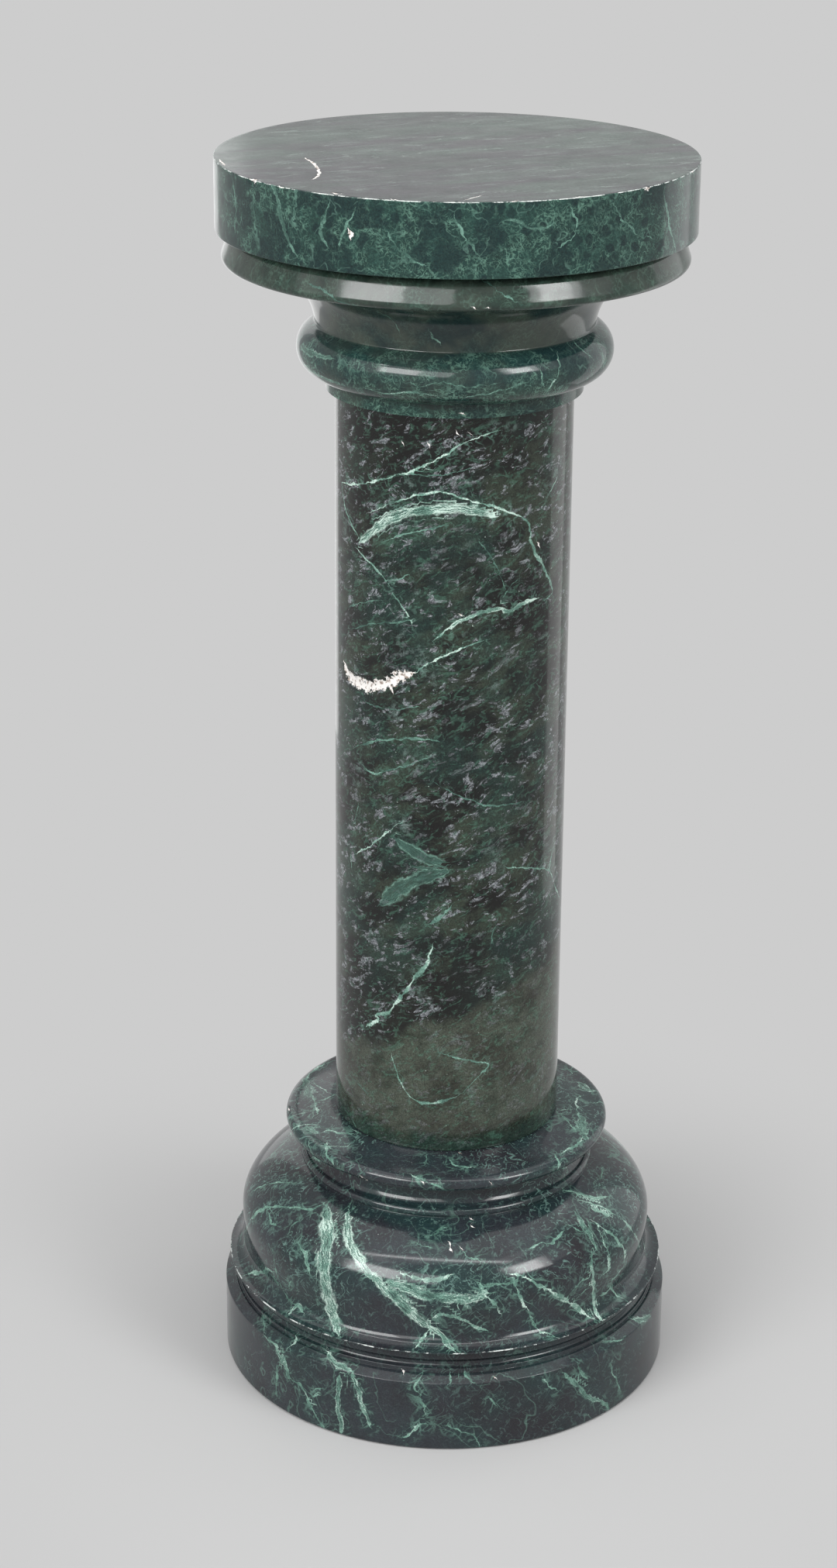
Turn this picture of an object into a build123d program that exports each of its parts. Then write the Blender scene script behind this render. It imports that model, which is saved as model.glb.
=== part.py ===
"""Turned marble pedestal column: a base, a plain shaft, a capital and a thick
round top with a moulded lower edge, pinned together by two steel dowels.

Sizes are in millimetres. Every outline is half a section, with radius along X
and height along Z, and is turned about the Z axis. The foot stands on Z = 0.
"""

import os
from math import cos, radians, sin

from build123d import *

os.makedirs("parts", exist_ok=True)

# Heights of the four stones, as they stack
base_h = 219.0
shaft_h = 606.0
capital_h = 96.5
top_h = 78.5

shaft_foot_z = base_h
capital_foot_z = shaft_foot_z + shaft_h
top_foot_z = capital_foot_z + capital_h
column_h = top_foot_z + top_h

# Shaft
shaft_r = 91.0
shaft_arris = 0.6

# Base, from the floor up: the plinth takes the height that the mouldings leave
plinth_r = 184.0
foot_bevel = 1.5
slope_in = 7.5
slope_h = 5.0
groove_depth = 2.0
groove_h = 3.5
bead_out = 1.5
bead_h = 7.5
recess_depth = 4.5
recess_h = 8.8
lip_in = 4.0
lip_h = 1.2
flare_in = 13.0
flare_h = 12.0
bell_out = 2.2
bell_wall_h = 27.5
shoulder_width = 110.6
shoulder_height = 58.7
shoulder_sweep = 56.3
roll_h = 7.0
roll_out = 0.5
neck_in = 9.0
neck_h = 21.4
cushion_out = 12.7
cushion_edge_r = 6.0
cushion_drop = 3.8
seat_margin = 1.5

# Capital, from the shaft up
band_out = 7.0
band_h = 11.2
torus_out = 22.0
torus_edge_r = 20.1
crease_in = 13.0
crease_h = 0.9
cove_reach = 38.0
cove_sag = 6.5
cap_band_h = 2.5

# Top
slab_r = 180.0
slab_h = 54.0
rim_round = 1.2
quirk_in = 13.5
quirk_h = 1.5
ring_in = 4.6
ring_foot_round = 4.5

# Dowels and the sockets drilled for them
dowel_r = 8.0
socket_clearance = 0.5
socket_r = dowel_r + socket_clearance
socket_depth = 60.0
top_socket_depth = 30.0
socket_spare = 4.0

# Base: levels, from the seat of the shaft down
cushion_top_z = base_h - cushion_drop
cushion_mid_z = cushion_top_z - cushion_edge_r
cushion_foot_z = cushion_mid_z - cushion_edge_r
roll_top_z = cushion_foot_z - neck_h
shoulder_top_z = roll_top_z - roll_h
bell_z = shoulder_top_z - shoulder_height * sin(radians(shoulder_sweep))
waist_z = bell_z - bell_wall_h
lip_top_z = waist_z - flare_h
lip_foot_z = lip_top_z - lip_h
bead_top_z = lip_foot_z - recess_h
groove_top_z = bead_top_z - bead_h
slope_top_z = groove_top_z - groove_h
plinth_h = slope_top_z - slope_h

# Base: radii, from the plinth in
slope_top_r = plinth_r - slope_in
groove_r = slope_top_r - groove_depth
bead_r = slope_top_r + bead_out
recess_r = bead_r - recess_depth
lip_r = plinth_r - lip_in
waist_r = lip_r - flare_in
bell_r = waist_r + bell_out
shoulder_mid_r = bell_r - shoulder_width
shoulder_top_r = shoulder_mid_r + shoulder_width * cos(radians(shoulder_sweep))
roll_foot_r = shoulder_top_r - roll_out
neck_r = roll_foot_r - neck_in
neck_mid_z = (roll_top_z + cushion_foot_z) / 2
neck_foot_r = roll_foot_r - roll_h / 2
cushion_r = roll_foot_r + cushion_out
cushion_mid_r = cushion_r - cushion_edge_r
seat_r = shaft_r + seat_margin

with BuildPart() as base:
    with BuildSketch(Plane.XZ):
        with BuildLine():
            foot = Polyline(
                (0, 0),
                (plinth_r - foot_bevel, 0),
                (plinth_r, foot_bevel),
                (plinth_r, plinth_h),
                (slope_top_r, slope_top_z),
                (groove_r, slope_top_z),
                (groove_r, groove_top_z),
            )
            bead = ThreePointArc(
                foot @ 1,
                (bead_r, (groove_top_z + bead_top_z) / 2),
                (recess_r, bead_top_z),
            )
            Polyline(
                bead @ 1,
                (recess_r, lip_foot_z),
                (lip_r, lip_foot_z),
                (lip_r, lip_top_z),
            )
            EllipticalCenterArc(
                (lip_r, waist_z),
                flare_in,
                flare_h,
                start_angle=180,
                arc_size=90,
            )
            Spline(
                (waist_r, waist_z),
                (bell_r, bell_z),
                tangents=((0, 1), (0, 1)),
            )
            EllipticalCenterArc(
                (shoulder_mid_r, bell_z),
                shoulder_width,
                shoulder_height,
                start_angle=0,
                arc_size=shoulder_sweep,
            )
            ledge = Line(
                (shoulder_top_r, shoulder_top_z),
                (roll_foot_r, shoulder_top_z),
            )
            roll = ThreePointArc(
                ledge @ 1,
                (roll_foot_r + roll_h / 4, (shoulder_top_z + roll_top_z) / 2),
                (neck_foot_r, roll_top_z),
            )
            neck = ThreePointArc(
                roll @ 1,
                (neck_r, neck_mid_z),
                (neck_foot_r, cushion_foot_z),
            )
            soffit = Line(neck @ 1, (cushion_mid_r, cushion_foot_z))
            edge = ThreePointArc(
                soffit @ 1,
                (cushion_r, cushion_mid_z),
                (cushion_mid_r, cushion_top_z),
            )
            crown = Spline(
                edge @ 1,
                (seat_r, base_h),
                tangents=((-1, 0), (-1, 0.05)),
            )
            Polyline(crown @ 1, (0, base_h), (0, 0))
        make_face()
    revolve(axis=Axis.Z)
    with BuildSketch(Plane.XY.offset(base_h)):
        Circle(socket_r)
    extrude(amount=-socket_depth, mode=Mode.SUBTRACT)

with BuildPart() as shaft:
    with BuildSketch(Plane.XY.offset(shaft_foot_z)):
        Circle(shaft_r)
    extrude(amount=shaft_h)
    chamfer(shaft.edges().filter_by(GeomType.CIRCLE), shaft_arris)
    with BuildSketch(Plane.XY.offset(shaft_foot_z)):
        Circle(socket_r)
    extrude(amount=socket_depth, mode=Mode.SUBTRACT)
    with BuildSketch(Plane.XY.offset(capital_foot_z)):
        Circle(socket_r)
    extrude(amount=-socket_depth, mode=Mode.SUBTRACT)

# Capital: radii out from the shaft, and levels up from it
band_r = shaft_r + band_out
torus_r = band_r + torus_out
torus_mid_r = torus_r - torus_edge_r
cove_foot_r = torus_r - crease_in
cove_top_r = cove_foot_r + cove_reach
torus_foot_z = capital_foot_z + band_h
torus_z = torus_foot_z + torus_edge_r
torus_reach = cove_foot_r - torus_mid_r
torus_top_z = torus_z + (torus_edge_r**2 - torus_reach**2) ** 0.5
cove_foot_z = torus_top_z + crease_h
cove_top_z = top_foot_z - cap_band_h
cove_mid_r = (cove_foot_r + cove_top_r) / 2 - cove_sag
cove_mid_z = (cove_foot_z + cove_top_z) / 2 + cove_sag

with BuildPart() as capital:
    with BuildSketch(Plane.XZ):
        with BuildLine():
            band = Polyline(
                (0, capital_foot_z),
                (band_r, capital_foot_z),
                (band_r, torus_foot_z),
                (torus_mid_r, torus_foot_z),
            )
            bulge = ThreePointArc(
                band @ 1,
                (torus_r, torus_z),
                (cove_foot_r, torus_top_z),
            )
            rise = Line(bulge @ 1, (cove_foot_r, cove_foot_z))
            cove = ThreePointArc(
                rise @ 1,
                (cove_mid_r, cove_mid_z),
                (cove_top_r, cove_top_z),
            )
            Polyline(
                cove @ 1,
                (cove_top_r, top_foot_z),
                (0, top_foot_z),
                (0, capital_foot_z),
            )
        make_face()
    revolve(axis=Axis.Z)
    with BuildSketch(Plane.XY.offset(capital_foot_z)):
        Circle(socket_r)
    extrude(amount=capital_h, mode=Mode.SUBTRACT)

# Top: levels and radii that the outline is drawn from
slab_foot_z = column_h - slab_h
quirk_foot_z = slab_foot_z - quirk_h
ring_mid_z = top_foot_z + ring_foot_round
quirk_r = slab_r - quirk_in
ring_r = slab_r - ring_in

with BuildPart() as top_plate:
    with BuildSketch(Plane.XZ):
        with BuildLine():
            under = Line((0, top_foot_z), (ring_r - ring_foot_round, top_foot_z))
            ring_foot = RadiusArc(
                under @ 1,
                (ring_r, ring_mid_z),
                -ring_foot_round,
            )
            ring = Spline(
                ring_foot @ 1,
                (quirk_r, quirk_foot_z),
                tangents=((0, 1), (-0.8, 0.6)),
            )
            Polyline(
                ring @ 1,
                (quirk_r, slab_foot_z),
                (slab_r, slab_foot_z),
                (slab_r, column_h),
                (0, column_h),
                (0, top_foot_z),
            )
        make_face()
    revolve(axis=Axis.Z)
    fillet(top_plate.edges().group_by(Axis.Z)[-1], rim_round)
    with BuildSketch(Plane.XY.offset(top_foot_z)):
        Circle(socket_r)
    extrude(amount=top_socket_depth, mode=Mode.SUBTRACT)

# Dowels: each stands on the floor of its lower socket, short of the upper end
lower_dowel_foot_z = base_h - socket_depth
lower_dowel_l = 2 * socket_depth - socket_spare
upper_dowel_foot_z = capital_foot_z - socket_depth
upper_dowel_l = socket_depth + capital_h + top_socket_depth - socket_spare

with BuildPart() as lower_dowel:
    with BuildSketch(Plane.XY.offset(lower_dowel_foot_z)):
        Circle(dowel_r)
    extrude(amount=lower_dowel_l)

with BuildPart() as upper_dowel:
    with BuildSketch(Plane.XY.offset(upper_dowel_foot_z)):
        Circle(dowel_r)
    extrude(amount=upper_dowel_l)

base.part.label = "base"
shaft.part.label = "shaft"
capital.part.label = "capital"
top_plate.part.label = "top_plate"
lower_dowel.part.label = "lower_dowel"
upper_dowel.part.label = "upper_dowel"

export_step(base.part, "parts/base.step")
export_step(shaft.part, "parts/shaft.step")
export_step(capital.part, "parts/capital.step")
export_step(top_plate.part, "parts/top_plate.step")
export_step(lower_dowel.part, "parts/lower_dowel.step")
export_step(upper_dowel.part, "parts/upper_dowel.step")
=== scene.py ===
from math import atan2, cos, pi, radians, sin, sqrt, tan

import bmesh
import bpy
import numpy as np
from bpy.props import FloatProperty, FloatVectorProperty, IntProperty, PointerProperty
from mathutils import Matrix, Vector
from mathutils.bvhtree import BVHTree
from mathutils.geometry import interpolate_bezier


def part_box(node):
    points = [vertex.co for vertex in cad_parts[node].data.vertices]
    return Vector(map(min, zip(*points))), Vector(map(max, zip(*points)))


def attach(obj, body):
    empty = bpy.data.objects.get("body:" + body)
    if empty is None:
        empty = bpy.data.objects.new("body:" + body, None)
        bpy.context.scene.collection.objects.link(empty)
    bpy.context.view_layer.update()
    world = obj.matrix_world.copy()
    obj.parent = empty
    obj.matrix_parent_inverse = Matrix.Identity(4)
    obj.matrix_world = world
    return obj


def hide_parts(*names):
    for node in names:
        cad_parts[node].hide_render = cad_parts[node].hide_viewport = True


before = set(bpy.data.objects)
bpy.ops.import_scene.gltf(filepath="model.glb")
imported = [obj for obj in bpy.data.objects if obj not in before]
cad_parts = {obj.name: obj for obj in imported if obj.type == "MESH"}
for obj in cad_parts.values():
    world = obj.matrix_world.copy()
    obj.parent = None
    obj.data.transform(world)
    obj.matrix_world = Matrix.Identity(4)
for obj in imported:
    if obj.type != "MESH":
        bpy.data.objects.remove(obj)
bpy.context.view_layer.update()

bl_info = {
    "name": "Marble Pedestal Column",
    "version": (1, 0, 0),
    "blender": (4, 5, 0),
    "location": "3D View > Sidebar > Column",
    "description": "Turned green marble column with veins, chips and a studio stage",
    "category": "Object",
}

MM = 0.001

# The photograph's own frame, in pixels, and the lens that shows it
PHOTO_WIDTH = 1080
PHOTO_HEIGHT = 2023
SENSOR = 36.0
LENS = 74.08
FOCAL_PIXELS = LENS / SENSOR * PHOTO_HEIGHT


def length(name, default, description):
    """A length in metres that a user can change."""
    return FloatProperty(
        name=name, description=description, default=default, min=0.0, unit="LENGTH"
    )


def colour(name, default, description):
    """A colour that a user can change."""
    return FloatVectorProperty(
        name=name,
        description=description,
        default=default,
        size=3,
        min=0.0,
        max=1.0,
        subtype="COLOR",
    )


class TopSizes(bpy.types.PropertyGroup):
    slab_r: length("Slab radius", 0.180, "Radius of the thick round slab")
    slab_h: length("Slab height", 0.054, "Height of the slab's upright side")
    rim: length("Rim round", 0.0012, "Rounding of the slab's upper edge")
    quirk_r: length("Quirk radius", 0.1665, "Radius at the groove under the slab")
    quirk_h: length("Quirk height", 0.0015, "Height of the groove under the slab")
    ring_r: length("Ring radius", 0.1754, "Widest radius of the ring moulding")
    ring_foot: length("Ring foot", 0.0045, "Rounding at the foot of the ring")


class CapitalSizes(bpy.types.PropertyGroup):
    band_r: length("Band radius", 0.098, "Radius of the band on the shaft")
    band_h: length("Band height", 0.0112, "Height of the band on the shaft")
    torus_r: length("Torus radius", 0.120, "Widest radius of the torus")
    torus_edge: length("Torus edge", 0.0201, "Radius of the torus's own section")
    crease_r: length("Crease radius", 0.107, "Radius where torus and cove meet")
    crease_h: length("Crease height", 0.0009, "Upright step where they meet")
    cove_r: length("Cove radius", 0.145, "Radius at the head of the cove")
    cove_bow: length("Cove depth", 0.0092, "How far the cove is hollowed")
    head_h: length("Head height", 0.0025, "Upright edge above the cove")


class ShaftSizes(bpy.types.PropertyGroup):
    radius: length("Radius", 0.091, "Radius of the shaft")
    arris: length("Arris", 0.0006, "Bevel at the shaft's two ends")


class BaseSizes(bpy.types.PropertyGroup):
    plinth_r: length("Plinth radius", 0.184, "Radius of the plinth")
    foot: length("Foot bevel", 0.0015, "Bevel where the plinth meets the floor")
    plinth_h: length("Plinth height", 0.0605, "Height of the plinth's side")
    slope_r: length("Slope radius", 0.1765, "Radius at the head of the slope")
    slope_h: length("Slope height", 0.005, "Height of the slope on the plinth")
    groove_r: length("Groove radius", 0.1745, "Radius of the narrow groove")
    groove_h: length("Groove height", 0.0035, "Height of the narrow groove")
    bead_bow: length("Bead bow", 0.0040, "How far the bead swells")
    bead_h: length("Bead height", 0.0075, "Height of the bead")
    recess_r: length("Recess radius", 0.1735, "Radius of the shadow recess")
    recess_h: length("Recess height", 0.0088, "Height of the shadow recess")
    lip_r: length("Lip radius", 0.180, "Radius of the bell's lip")
    lip_h: length("Lip height", 0.0012, "Height of the lip's edge")
    waist_r: length("Waist radius", 0.167, "Radius above the flare")
    flare_h: length("Flare height", 0.012, "Height of the flare")
    bell_r: length("Bell radius", 0.1692, "Widest radius of the bell's wall")
    wall_h: length("Wall height", 0.0275, "Height of the bell's wall")
    shoulder_w: length("Shoulder width", 0.1106, "Long radius of the shoulder")
    shoulder_h: length("Shoulder rise", 0.0587, "Short radius of the shoulder")
    roll_r: length("Roll radius", 0.1195, "Radius at the foot of the roll")
    roll_h: length("Roll height", 0.007, "Height of the small roll")
    neck_r: length("Neck radius", 0.1160, "Radius at both ends of the neck")
    neck_bow: length("Neck depth", 0.0055, "How far the neck is hollowed")
    cushion_r: length("Cushion radius", 0.1322, "Widest radius of the cushion")
    cushion_edge: length("Cushion edge", 0.006, "Radius of the cushion's edge")
    cushion_drop: length("Cushion drop", 0.0038, "Fall of the cushion's crown")
    seat_r: length("Seat radius", 0.0925, "Radius of the flat under the shaft")


class StoneColours(bpy.types.PropertyGroup):
    black: colour("Black", (0.004, 0.004, 0.0035), "Darkest clouds of the shaft")
    olive: colour("Olive", (0.023, 0.031, 0.021), "Olive ground of the shaft")
    moss: colour("Moss", (0.056, 0.067, 0.050), "Lighter olive low on the shaft")
    grey: colour("Grey", (0.29, 0.305, 0.33), "Purple grey flecks of the shaft")
    slate: colour("Slate", (0.024, 0.030, 0.036), "Blue black ground of the base")
    plum: colour("Plum", (0.017, 0.016, 0.020), "Purple black ground of the base")
    lagoon: colour("Lagoon", (0.012, 0.034, 0.034), "Blue green round the veins")
    night: colour("Night", (0.004, 0.017, 0.018), "Darkest lumps of the slab")
    teal: colour("Teal", (0.010, 0.032, 0.027), "Deep green")
    emerald: colour("Emerald", (0.011, 0.038, 0.032), "Green ground of the slab")
    deep: colour("Deep", (0.035, 0.085, 0.068), "Faintest veins")
    mint: colour("Mint", (0.155, 0.30, 0.24), "Pale green fibres")
    frost: colour("Frost", (0.56, 0.72, 0.64), "Brightest veins")
    chalk: colour("Chalk", (0.82, 0.79, 0.76), "Broken stone and filled cracks")
    rubbed: colour("Rubbed", (0.62, 0.66, 0.64), "Worn arrises")
    dirt: colour("Dirt", (0.26, 0.20, 0.16), "Dirt in the broken stone")
    steel: colour("Steel", (0.42, 0.42, 0.43), "Steel of the dowels")


class StageSettings(bpy.types.PropertyGroup):
    backdrop: colour("Backdrop", (0.61, 0.61, 0.61), "Pale grey round the column")
    floor: colour("Floor", (0.505, 0.505, 0.505), "Floor near the column")
    ambient: FloatProperty(
        name="Ambient", description="Plain light from all round", default=0.25, min=0.0
    )
    columns: IntProperty(
        name="Columns", description="Steps round the largest stone", default=576, min=64
    )


# ---------------- outlines

# Steps along the curves of an outline
STEPS = 12
SHORT_STEPS = 8
TORUS_STEPS = 30
COVE_STEPS = 22
SHOULDER_STEPS = 38
CROWN_STEPS = 14

# How far the ring under the slab leans in above its foot, in degrees
RING_LEAN = 21

# How far the roll swells, how wide the ledge under it is, and how far the
# cushion's crown stays level at its two ends
ROLL_BOW = 2.5 * MM
LEDGE = 0.5 * MM
CROWN_LEVEL = 11 * MM


def arc(centre, radii, start, end, steps=STEPS):
    """Points on an ellipse, from start to end in degrees."""
    turns = [radians(start + (end - start) * i / steps) for i in range(steps + 1)]
    return [(centre[0] + radii[0] * cos(t), centre[1] + radii[1] * sin(t)) for t in turns]


def bowed(start, end, bow, steps=STEPS):
    """Points on a round arc; a positive bow swells to the right of the way along."""
    a, b = Vector(start), Vector(end)
    chord = b - a
    side = Vector((chord.y, -chord.x)).normalized()
    radius = (chord.length**2 / 4 + bow**2) / (2 * abs(bow))
    centre = (a + b) / 2 + side * (bow - radius * (1 if bow > 0 else -1))
    first, last = a - centre, b - centre
    begin = atan2(first.y, first.x)
    sweep = (atan2(last.y, last.x) - begin + pi) % (2 * pi) - pi
    turns = [begin + sweep * i / steps for i in range(steps + 1)]
    return [(centre.x + radius * cos(t), centre.y + radius * sin(t)) for t in turns]


def swept(start, pull, push, end, steps=STEPS):
    """Points on a smooth curve that leaves start by pull and reaches end by push."""
    ends = [Vector((x, z, 0)) for x, z in (start, pull, push, end)]
    return [(p.x, p.y) for p in interpolate_bezier(*ends, steps + 1)]


def top_outline(size, foot, head):
    """Half a section of the slab and the ring moulding under it."""
    slab_foot = head - size.slab_h
    quirk_foot = slab_foot - size.quirk_h
    ring_mid = foot + size.ring_foot
    rise = (quirk_foot - ring_mid) / 2
    lean = tan(radians(RING_LEAN))
    foot_r = size.ring_r - size.ring_foot
    ring_foot = arc((foot_r, ring_mid), (size.ring_foot,) * 2, -90, RING_LEAN, SHORT_STEPS)
    lean_r, lean_z = ring_foot[-1]
    return [
        (0, foot),
        (size.ring_r - 6 * size.ring_foot, foot),
        *ring_foot,
        *swept(
            (lean_r, lean_z),
            (lean_r - lean * rise, lean_z + rise),
            (size.quirk_r + rise * 0.55, quirk_foot - rise * 0.5),
            (size.quirk_r, quirk_foot),
        )[1:],
        (size.quirk_r, slab_foot),
        (size.slab_r, slab_foot),
        (size.slab_r, head),
        (4 * MM, head),
        (0, head),
    ]


def capital_outline(size, foot, head):
    """Half a section of the band, torus and cove."""
    mid_r = size.torus_r - size.torus_edge
    mid_z = foot + size.band_h + size.torus_edge
    reach = size.crease_r - mid_r
    crease_z = mid_z + sqrt(size.torus_edge**2 - reach**2)
    end = 90 - np.degrees(np.arcsin(reach / size.torus_edge))
    return [
        (0, foot),
        (size.band_r, foot),
        (size.band_r, foot + size.band_h),
        *arc((mid_r, mid_z), (size.torus_edge,) * 2, -90, end, TORUS_STEPS),
        *bowed(
            (size.crease_r - size.crease_h, crease_z + 1.5 * size.crease_h),
            (size.cove_r, head - size.head_h),
            -size.cove_bow,
            COVE_STEPS,
        ),
        (size.cove_r, head),
        (0, head),
    ]


def shaft_outline(size, foot, head):
    """Half a section of the plain shaft."""
    return [
        (0, foot),
        (size.radius - size.arris, foot),
        (size.radius, foot + size.arris),
        (size.radius, head - size.arris),
        (size.radius - size.arris, head),
        (0, head),
    ]


def base_outline(size, foot, head):
    """Half a section of the plinth, bead, bell, neck and cushion."""
    slope_z = foot + size.plinth_h + size.slope_h
    groove_z = slope_z + size.groove_h
    bead_z = groove_z + size.bead_h
    lip_z = bead_z + size.recess_h
    flare_z = lip_z + size.lip_h
    waist_z = flare_z + size.flare_h
    bell_z = waist_z + size.wall_h
    third = size.wall_h / 3
    centre = size.bell_r - size.shoulder_w, bell_z
    radii = size.shoulder_w, size.shoulder_h
    end = np.degrees(np.arccos((size.roll_r + LEDGE - centre[0]) / size.shoulder_w))
    shoulder = arc(centre, radii, 0, end, SHOULDER_STEPS)
    ledge_z = shoulder[-1][1]
    roll_z = ledge_z + size.roll_h
    crown_z = head - size.cushion_drop
    cushion_z = crown_z - size.cushion_edge
    edge_r = size.cushion_r - size.cushion_edge
    return [
        (0, foot),
        (size.plinth_r - size.foot, foot),
        (size.plinth_r, foot + size.foot),
        (size.plinth_r, foot + size.plinth_h),
        (size.slope_r, slope_z),
        (size.groove_r, slope_z),
        *bowed(
            (size.groove_r, groove_z), (size.recess_r, bead_z), size.bead_bow, SHORT_STEPS
        ),
        (size.recess_r, lip_z),
        (size.lip_r, lip_z),
        *arc((size.lip_r, waist_z), (size.lip_r - size.waist_r, size.flare_h), 270, 180),
        *swept(
            (size.waist_r, waist_z),
            (size.waist_r, waist_z + third),
            (size.bell_r, bell_z - third),
            (size.bell_r, bell_z),
        )[1:],
        *shoulder[1:],
        *bowed((size.roll_r, ledge_z), (size.neck_r, roll_z), ROLL_BOW, SHORT_STEPS),
        *bowed(
            (size.neck_r, roll_z),
            (size.neck_r, cushion_z - size.cushion_edge),
            -size.neck_bow,
        )[1:],
        *arc((edge_r, cushion_z), (size.cushion_edge,) * 2, -90, 90),
        *swept(
            (edge_r, crown_z),
            (edge_r - CROWN_LEVEL, crown_z),
            (size.seat_r + CROWN_LEVEL, head - 0.5 * MM),
            (size.seat_r, head),
            CROWN_STEPS,
        )[1:],
        (0, head),
    ]


# ---------------- turning

# How far an arris is eased, how many slices a stone is spun from, and the angle
# past which an edge stays sharp
ARRIS = 0.7 * MM
SLICES = 12
SHARP = radians(28)


def turn_stone(outline, columns, row):
    """Turns half a section into a closed stone with its arrises eased."""
    stone = bmesh.new()
    corners = [stone.verts.new((r, 0, z)) for r, z in outline]
    for a, b in zip(corners, corners[1:]):
        stone.edges.new((a, b))
    sharp = []
    for before, corner, after in zip(corners, corners[1:], corners[2:]):
        bend = (corner.co - before.co).angle(after.co - corner.co)
        if bend > SHARP and after.co.x > 0 and before.co.x > 0:
            sharp.append(corner)
    bmesh.ops.bevel(
        stone,
        geom=sharp,
        offset=ARRIS,
        offset_type="OFFSET",
        segments=3,
        profile=0.5,
        affect="VERTICES",
        clamp_overlap=True,
        material=-1,
    )
    for edge in list(stone.edges):
        cuts = int(edge.calc_length() / row)
        if cuts and min(v.co.x for v in edge.verts) > 0:
            bmesh.ops.subdivide_edges(stone, edges=[edge], cuts=cuts)
    slice_turn = 2 * pi / SLICES
    about = {"cent": (0, 0, 0), "axis": (0, 0, 1), "dvec": (0, 0, 0)}
    geom = stone.verts[:] + stone.edges[:]
    bmesh.ops.spin(stone, geom=geom, angle=slice_turn, steps=columns // SLICES, **about)
    geom = stone.verts[:] + stone.edges[:] + stone.faces[:]
    rest = 2 * pi - slice_turn
    bmesh.ops.spin(stone, geom=geom, angle=rest, steps=SLICES - 1, use_duplicate=True, **about)
    bmesh.ops.remove_doubles(stone, verts=stone.verts[:], dist=1e-6)
    bmesh.ops.recalc_face_normals(stone, faces=stone.faces[:])
    for face in stone.faces:
        face.smooth = True
    for edge in stone.edges:
        edge.smooth = edge.calc_face_angle(0.0) < SHARP
    return stone


# ---------------- lines on the stone

# The camera looks down by TILT and is rolled by ROLL
TILT = radians(21.52)
ROLL = radians(0.44)
EYE = Vector((-0.025, -2.388, 1.441))
EYE_TURN = Matrix.Rotation(pi / 2 - TILT, 4, "X") @ Matrix.Rotation(ROLL, 4, "Z")

# How far from a line the stone knows of it, the share of a line over which each
# end thins, how thin it gets, and how far past its edge a chip still slopes
REACH = 14 * MM
TAPER = 0.22
THIN_END = 0.25
CHIP_SLOPE = 1.3


def eased(points):
    """The same way along with two more points on each stretch, bent smoothly."""
    points = [Vector(p) for p in points]
    ends = [2 * points[0] - points[1], *points, 2 * points[-1] - points[-2]]
    smooth = []
    for a, b, c, d in zip(ends, ends[1:], ends[2:], ends[3:]):
        for t in (0, 1 / 3, 2 / 3):
            smooth.append(
                b
                + (c - a) * t / 2
                + (2 * a - 5 * b + 4 * c - d) * t * t / 2
                + (3 * b - a - 3 * c + d) * t**3 / 2
            )
    return [*smooth, points[-1]]


def on_stone(tree, pixel):
    """Where a pixel of the photograph falls on the stone, or None."""
    across = (pixel[0] - PHOTO_WIDTH / 2) / FOCAL_PIXELS
    up = (PHOTO_HEIGHT / 2 - pixel[1]) / FOCAL_PIXELS
    way = EYE_TURN.to_3x3() @ Vector((across, up, -1))
    return tree.ray_cast(EYE, way.normalized())[0]


def ways(tree, lines, turn):
    """Each line's half width, tone and points on the stone, and its turned copy."""
    for number, (half_width, tone, *pixels) in enumerate(lines):
        route = eased(zip(pixels[0::2], pixels[1::2]))
        found = [p for p in (on_stone(tree, pixel) for pixel in route) if p]
        if len(found) > 1:
            yield number, half_width * MM, tone, found
            if turn:
                yield number + 0.5, half_width * MM, tone, [turn @ p for p in found]


def lay_lines(mesh, tree, lines, name, turn=None):
    """Writes how far each vertex is from the nearest line, with a sign for its
    side, and that line's width, tone and way along."""
    count = len(mesh.vertices)
    place = np.zeros(count * 3)
    facing = np.zeros(count * 3)
    mesh.vertices.foreach_get("co", place)
    mesh.vertex_normals.foreach_get("vector", facing)
    place, facing = place.reshape(-1, 3), facing.reshape(-1, 3)
    run = np.tile([1.0, 1.0, 0.0], (count, 1))
    form = np.zeros((count, 3))
    for number, half_width, tone, found in ways(tree, lines, turn):
        total = sum((b - a).length for a, b in zip(found, found[1:])) or MM
        done = 0.0
        for start, end in zip(found, found[1:]):
            a, b = np.array(start), np.array(end)
            low, high = np.minimum(a, b) - REACH, np.maximum(a, b) + REACH
            near = np.nonzero(((place > low) & (place < high)).all(1))[0]
            step = b - a
            size = max(step @ step, 1e-12)
            share = np.clip((place[near] - a) @ step / size, 0, 1)
            away = place[near] - a - share[:, None] * step
            gap = np.linalg.norm(away, axis=1)
            closer = gap < run[near, 1]
            near, gap, share, away = near[closer], gap[closer], share[closer], away[closer]
            side = np.sign((np.cross(step, away) * facing[near]).sum(1))
            along = done + share * sqrt(size)
            ends = np.clip(np.minimum(along, total - along) / (TAPER * total), 0, 1)
            run[near, 0] = gap * np.where(side == 0, 1, side)
            run[near, 1] = gap
            run[near, 2] = along + number
            form[near, 0] = half_width * (THIN_END + (1 - THIN_END) * np.sqrt(ends))
            form[near, 1] = tone
            done += sqrt(size)
    for field, values in ((name + "_run", run), (name + "_form", form)):
        made = mesh.attributes.new(field, "FLOAT_VECTOR", "POINT")
        made.data.foreach_set("vector", values.ravel())
    return place, facing, run, form


def sink_chips(mesh, place, facing, run, form):
    """Sinks the broken places: a chip's tone is its depth in millimetres."""
    slope = CHIP_SLOPE - run[:, 1] / np.maximum(form[:, 0], 1e-6)
    depth = form[:, 1] * MM * np.clip(slope, 0, 1)
    mesh.vertices.foreach_set("co", (place - facing * depth[:, None]).ravel())
    mesh.update()


# ---------------- veins and breaks

# Each line was read off the photograph: half its width in millimetres, its
# brightness, or a break's depth in millimetres, and the pixels that it runs through

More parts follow.
